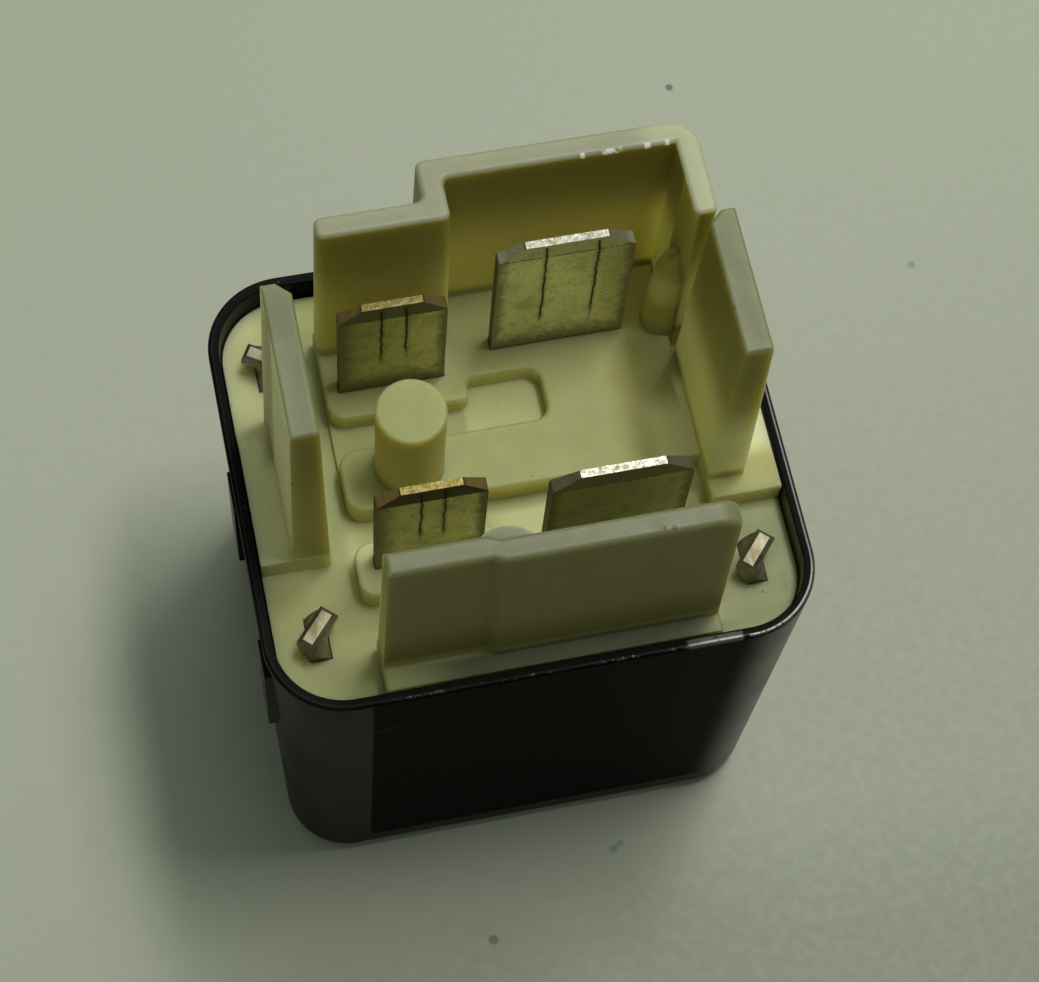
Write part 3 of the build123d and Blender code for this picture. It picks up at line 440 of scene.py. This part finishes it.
def blade_material(name, half, top, centre, face, tip, corner, bevel_dirt, lines_at=(), reach=0.0):
    """Blade: tarnished rolled faces, dark drawn score lines below the bevel, a bright cut land.

    lines_at are the score lines' places across the blade, and reach is how far down they go.
    """
    n = Nodes(name)
    narrow = half < LOAD_HALF
    drawn = n.noise(3.0, 4.0, 0.6, stretch=(1.0, 1.0, 0.1), shift=3.0)
    dark_patch = n.noise(0.55, 5.0, 0.65, shift=11.0)
    blot = n.noise(1.6, 6.0, 0.75, stretch=(1.0, 1.0, 0.8), shift=31.0, warp=0.5)
    fine = n.noise(5.0, 4.0, 0.7, shift=61.0)
    pits = n.step(n.cells(2.6, shift=8.0), 0.14, 0.07)
    land = n.times(n.step(n.z, top - 0.12, top - 0.02), n.step(n.nz, 0.5, 0.9))
    across = n.add(n.x, -centre)

    # Tarnish: in blots, along the edges, at the foot, on the bevel and its seam, and on the cut sides
    uneven = n.add(blot, -0.5)
    edge = n.step(n.add(n.size(across), n.times(uneven, 1.6)), half - 0.9, half - 0.1)
    low = n.step(n.add(n.z, n.times(uneven, -3.0)), RIM + 2.2, RIM + 0.2)
    dirt = n.most(
        n.times(n.step(dark_patch, 0.42, 0.68), 0.35),
        n.times(n.step(blot, 0.52, 0.7), 0.6),
        n.times(n.step(fine, 0.5, 0.75), 0.5),
        n.times(n.most(edge, low), 0.75),
        n.times(n.step(n.z, top - 1.1, top - 0.95), bevel_dirt),
        n.step(n.size(n.nx), 0.5, 0.8),
        n.times(n.near(n.z, top - 1.02, 0.03, 0.05), n.step(fine, 0.4, 0.5)),
    )
    if narrow:
        leftward = n.step(n.add(n.x, n.times(blot, 2.0)), centre - 0.4, centre - 2.2)
        dirt = n.most(dirt, n.times(leftward, 0.8))
    tarnish = (0.09, 0.085, 0.03) if narrow else (0.15, 0.13, 0.055)
    chamfer = n.times(n.step(n.size(n.nx), 0.2, 0.35), n.step(n.nz, 0.3, 0.5))
    colour = n.paint(face, (dirt, 1.0, tarnish), (pits, 1.0, (0.07, 0.06, 0.03)))
    relief = n.add(n.times(drawn, 0.4), n.times(dark_patch, 0.3))

    if lines_at:
        ragged = n.times(n.noise(3.0, 4.0, 0.7, shift=45.0), 0.12)
        masks = []
        for place in lines_at:
            wobble = n.times(n.add(n.noise(0.9, 3.0, 0.6, shift=40.0 + place), -0.5), 0.3)
            off = n.size(n.add(n.add(n.x, -centre - place), wobble))
            halo = n.step(n.add(off, n.times(fine, -0.35)), 0.12, -0.1)
            masks.append(n.step(n.add(off, n.times(ragged, -1.0)), 0.025, 0.0))
            masks.append(n.times(halo, 0.25))
        fade = n.times(n.noise(0.8, 2.0, 0.5, shift=50.0), 2.4)
        lines = n.times(
            n.most(*masks),
            n.step(n.add(n.z, fade), top - reach, top - reach + 1.8),
            n.step(n.noise(2.4, 4.0, 0.7, stretch=(1.0, 1.0, 0.8), shift=5.0), 0.3, 0.38),
            n.step(n.z, top - 0.12, top - 0.3),
        )
        colour = n.paint(colour, (lines, 0.95, (0.012, 0.011, 0.008)))
        relief = n.add(relief, n.times(lines, -1.0))

    rough = n.add(n.between(dirt, 0.36, 0.58), n.times(n.add(drawn, -0.5), 0.2))
    n.set(
        Base_Color=n.paint(
            colour,
            (chamfer, 0.9, n.blend(blot, corner, (0.05, 0.04, 0.015))),
            (land, 1.0, n.blend(n.step(blot, 0.5, 0.62), tip, (0.16, 0.14, 0.08))),
        ),
        Metallic=n.between(land, n.between(dirt, 0.85, 0.5), 1.0),
        Roughness=n.between(land, rough, n.step(fine, 0.35, 0.65, 0.22, 0.55)),
    )
    n.bump(relief, 0.04)
    return n.material


# The back load blade's pale corner colour is a painted highlight on its bevelled corners
dress(["load_terminal_common"], blade_material(
    "load_blade_back", LOAD_HALF, LOAD_TOP, LOAD_X,
    face=(0.80, 0.79, 0.50), tip=(0.27, 0.265, 0.23), corner=(0.62, 0.60, 0.46),
    bevel_dirt=0.15, lines_at=(-1.2, 1.84), reach=8.4))
# The front load blade's face colour is darker than the back one's: painted shade, the front wall's shaded
# inner face seen in it
dress(["load_terminal_fixed"], blade_material(
    "load_blade_front", LOAD_HALF, LOAD_TOP, LOAD_X,
    face=(0.50, 0.49, 0.24), tip=(0.30, 0.29, 0.24), corner=(0.2, 0.18, 0.1), bevel_dirt=0.8))
dress(["coil_terminal_back"], blade_material(
    "coil_blade_back", COIL_HALF, COIL_TOP, COIL_X,
    face=(0.62, 0.60, 0.28), tip=(0.13, 0.105, 0.028), corner=(0.26, 0.18, 0.05),
    bevel_dirt=0.9, lines_at=(-0.68, 0.76), reach=5.6))
dress(["coil_terminal_front"], blade_material(
    "coil_blade_front", COIL_HALF, COIL_TOP, COIL_X,
    face=(0.80, 0.77, 0.40), tip=(0.13, 0.105, 0.028), corner=(0.3, 0.2, 0.055),
    bevel_dirt=1.0, lines_at=(-0.6, 0.72), reach=5.6))

# Plated steel of the yoke and armature: dull, with rubbed leg tips
n = Nodes("frame_steel")
rolled = n.noise(1.4, 4.0, 0.6, stretch=(1.0, 0.3, 1.0), shift=6.0)
blot = n.noise(0.9, 5.0, 0.7, shift=13.0)
tip = n.times(n.step(n.z, RIM - 0.15, RIM + 0.1), n.step(n.nz, 0.3, 0.8))
rubbed = n.blend(n.step(rolled, 0.35, 0.6), (0.14, 0.12, 0.06), (0.27, 0.25, 0.16))
n.set(
    Base_Color=n.paint(
        n.blend(n.step(blot, 0.4, 0.7), (0.30, 0.28, 0.21), (0.12, 0.11, 0.07)),
        (tip, 0.7, rubbed),
    ),
    Metallic=0.9,
    Roughness=n.between(tip, n.step(rolled, 0.3, 0.7, 0.36, 0.55), 0.5),
)
n.bump(n.add(n.times(rolled, 0.5), n.times(blot, 0.5)), 0.05)
dress(["yoke", "armature"], n.material)

# Soft iron core: turned, satin
n = Nodes("core_iron")
turned = n.noise(5.0, 3.0, 0.6, stretch=(0.2, 0.2, 2.0))
n.set(
    Base_Color=n.blend(turned, (0.34, 0.33, 0.31), (0.5, 0.49, 0.46)),
    Metallic=1.0,
    Roughness=n.step(turned, 0.3, 0.7, 0.28, 0.42),
)
n.bump(turned, 0.02)
dress(["core"], n.material)

# Bobbin nylon
n = Nodes("bobbin_nylon")
cloud = n.noise(0.5, 3.0, 0.6)
n.set(
    Base_Color=n.blend(cloud, (0.5, 0.48, 0.38), (0.6, 0.58, 0.47)),
    Roughness=n.step(cloud, 0.3, 0.7, 0.38, 0.5),
)
n.bump(n.noise(5.0, 2.0, 0.5), 0.02)
dress(["bobbin"], n.material)

# Winding: close turns of enamelled wire, one every turn_pitch millimetres
n = Nodes("enamelled_copper")
turn_pitch = 0.16
turns = n.math("SINE", n.times(n.z, 2 * math.pi / turn_pitch))
tone = n.noise(0.8, 3.0, 0.6)
n.set(
    Base_Color=n.blend(n.step(n.add(turns, tone), -0.6, 1.2), (0.16, 0.045, 0.015), (0.5, 0.19, 0.07)),
    Metallic=0.8,
    Roughness=0.26,
    Coat_Weight=0.4,
)
n.bump(turns, 0.03)
dress(["coil_winding", "coil_lead_back", "coil_lead_front"], n.material)

# Yellow film wrapped round the winding
n = Nodes("wrap_film")
crease = n.noise(0.9, 4.0, 0.6, stretch=(1.0, 1.0, 0.35))
n.set(Base_Color=n.blend(crease, (0.42, 0.28, 0.07), (0.6, 0.44, 0.14)), Roughness=0.22)
n.bump(crease, 0.05)
dress(["winding_tape"], n.material)

# Bronze leaf
n = Nodes("leaf_bronze")
rolled = n.noise(2.5, 4.0, 0.6, stretch=(0.15, 1.0, 1.0))
n.set(
    Base_Color=n.blend(rolled, (0.42, 0.24, 0.1), (0.58, 0.36, 0.17)),
    Metallic=1.0,
    Roughness=n.step(rolled, 0.3, 0.7, 0.26, 0.4),
)
n.bump(rolled, 0.015)
dress(["contact_leaf"], n.material)

# Headed rivets and the spring's wire
n = Nodes("plated_steel")
blot = n.noise(1.8, 4.0, 0.6)
n.set(
    Base_Color=n.blend(blot, (0.4, 0.39, 0.36), (0.6, 0.59, 0.56)),
    Metallic=1.0,
    Roughness=n.step(blot, 0.3, 0.7, 0.25, 0.4),
)
n.bump(blot, 0.02)
dress(["leaf_rivets", "return_spring"], n.material)

# Silver contact buttons, faintly burnt
n = Nodes("contact_silver")
burn = n.noise(1.5, 5.0, 0.7)
n.set(
    Base_Color=n.blend(n.step(burn, 0.5, 0.7), (0.68, 0.67, 0.63), (0.22, 0.2, 0.17)),
    Metallic=1.0,
    Roughness=n.step(burn, 0.4, 0.7, 0.28, 0.5),
)
n.bump(burn, 0.03)
dress(["moving_contact", "fixed_contact"], n.material)

# Braid: two sets of strands that cross
n = Nodes("braid_copper")
along = n.times(n.x, 14.0)
rising = n.math("SINE", n.add(along, n.times(n.z, 22.0)))
falling = n.math("SINE", n.add(along, n.times(n.z, -22.0)))
weave = n.most(rising, falling)
n.set(
    Base_Color=n.blend(n.step(weave, -0.4, 1.0), (0.12, 0.045, 0.02), (0.5, 0.22, 0.1)),
    Metallic=0.9,
    Roughness=0.4,
)
n.bump(weave, 0.08)
dress(["braid"], n.material)


def mesh_object(name, points, faces, material):
    mesh = bpy.data.meshes.new(name)
    mesh.from_pydata(points, [], faces)
    mesh.materials.append(material)
    made = bpy.data.objects.new(name, mesh)
    bpy.context.scene.collection.objects.link(made)
    return made


# Rounded buttress that joins the return wall to the floor, over the tapered one of the model.
# Half rings round an upright line inside that wall, each a height and a radius
buttress_x = 11.3
buttress_y = 7.15
buttress_reach = 1.3
rings = (
    (30.2, 1.3),
    (31.5, 1.24),
    (33.0, 1.19),
    (35.0, 1.12),
    (36.6, 1.0),
    (37.6, 0.8),
    (38.2, 0.5),
    (38.4, 0.12),
)
around = 20
points = []
for level, radius in rings:
    for step in range(around + 1):
        turn = math.pi * (0.5 + step / around)
        x = buttress_x + radius * buttress_reach * math.cos(turn)
        y = buttress_y + radius * math.sin(turn)
        points.append((x / 1000, y / 1000, level / 1000))
quads = []
for ring in range(len(rings) - 1):
    for step in range(around):
        low = ring * (around + 1) + step
        quads.append((low + 1, low, low + around + 1, low + around + 2))
buttress = mesh_object("corner_buttress", points, quads, nylon)
buttress.data.polygons.foreach_set("use_smooth", [True] * len(quads))
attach(buttress, "relay_body")

# Pale table, not part of the object, with painted shade darkening it towards the front and at the near left
n = Nodes("table_paper")
cloud = n.noise(0.02, 3.0, 0.5)
fibre = n.noise(1.2, 4.0, 0.6)
specks = n.step(n.cells(0.055, shift=12.0), 0.018, 0.012)
dots = n.most(n.spot(22.7, 41.1, 0.0, 0.38), n.spot(-3.9, -21.1, 0.0, 0.42))
teal = n.most(
    n.spot(37.0, 22.9, 0.0, 0.38),
    n.spot(5.3, -16.6, 0.0, 0.4),
    n.spot(5.8, -16.3, 0.0, 0.3),
)
# Painted shade: the table darkens towards the front
front_falloff_shade = n.step(n.add(n.times(n.y, -0.8), n.times(n.x, 0.35)), -25.0, 50.0)
# Painted shade at the near left
near_left_shade = n.times(
    n.step(n.add(n.times(n.y, -1.0), n.times(n.x, -0.09)), 13.0, 25.0),
    n.step(n.x, -34.0, -12.0),
)
n.set(
    Base_Color=n.paint(
        n.blend(cloud, (0.37, 0.40, 0.305), (0.40, 0.43, 0.33)),
        (front_falloff_shade, 0.5, (0.15, 0.165, 0.12)),
        (dots, 0.75, (0.06, 0.06, 0.035)),
        (teal, 0.7, (0.16, 0.23, 0.22)),
        (near_left_shade, 0.35, (0.14, 0.15, 0.11)),
        (specks, 0.6, (0.12, 0.11, 0.06)),
    ),
    Roughness=n.step(fibre, 0.3, 0.7, 0.55, 0.65),
)
table_half = 1.5
signs = ((-1, -1), (1, -1), (1, 1), (-1, 1))
corners = [(table_half * across, table_half * along, 0) for across, along in signs]
mesh_object("table", corners, [(0, 1, 2, 3)], n.material)


def lamp(name, place, width, depth, power, colour):
    """A soft panel that shines straight down."""
    data = bpy.data.lights.new(name, "AREA")
    data.shape = "RECTANGLE"
    data.size = width
    data.size_y = depth
    data.energy = power
    data.color = colour
    made = bpy.data.objects.new(name, data)
    made.location = place
    bpy.context.scene.collection.objects.link(made)


# Light: a long narrow lamp high on the right, a weak one behind, and a world that is dim at the horizon
lamp_height = 0.60
lamp("key", (0.155, 0.07, lamp_height), width=0.08, depth=0.26, power=2.45, colour=(1.0, 0.99, 0.95))
lamp("back", (0.08, 0.28, lamp_height), width=0.2, depth=0.2, power=0.4, colour=(0.97, 1.0, 0.97))
horizon_light = 0.02
zenith_light = 0.36
sky_colour = (0.92, 1.0, 0.9, 1.0)
world = bpy.data.worlds.new("world")
bpy.context.scene.world = world
world.use_nodes = True
sky = world.node_tree
direction = sky.nodes.new("ShaderNodeTexCoord")
parts = sky.nodes.new("ShaderNodeSeparateXYZ")
height = sky.nodes.new("ShaderNodeMapRange")
height.inputs["To Min"].default_value = horizon_light
height.inputs["To Max"].default_value = zenith_light
sky.links.new(direction.outputs["Generated"], parts.inputs[0])
sky.links.new(parts.outputs["Z"], height.inputs["Value"])
sky.links.new(height.outputs["Result"], sky.nodes["Background"].inputs[1])
sky.nodes["Background"].inputs[0].default_value = sky_colour
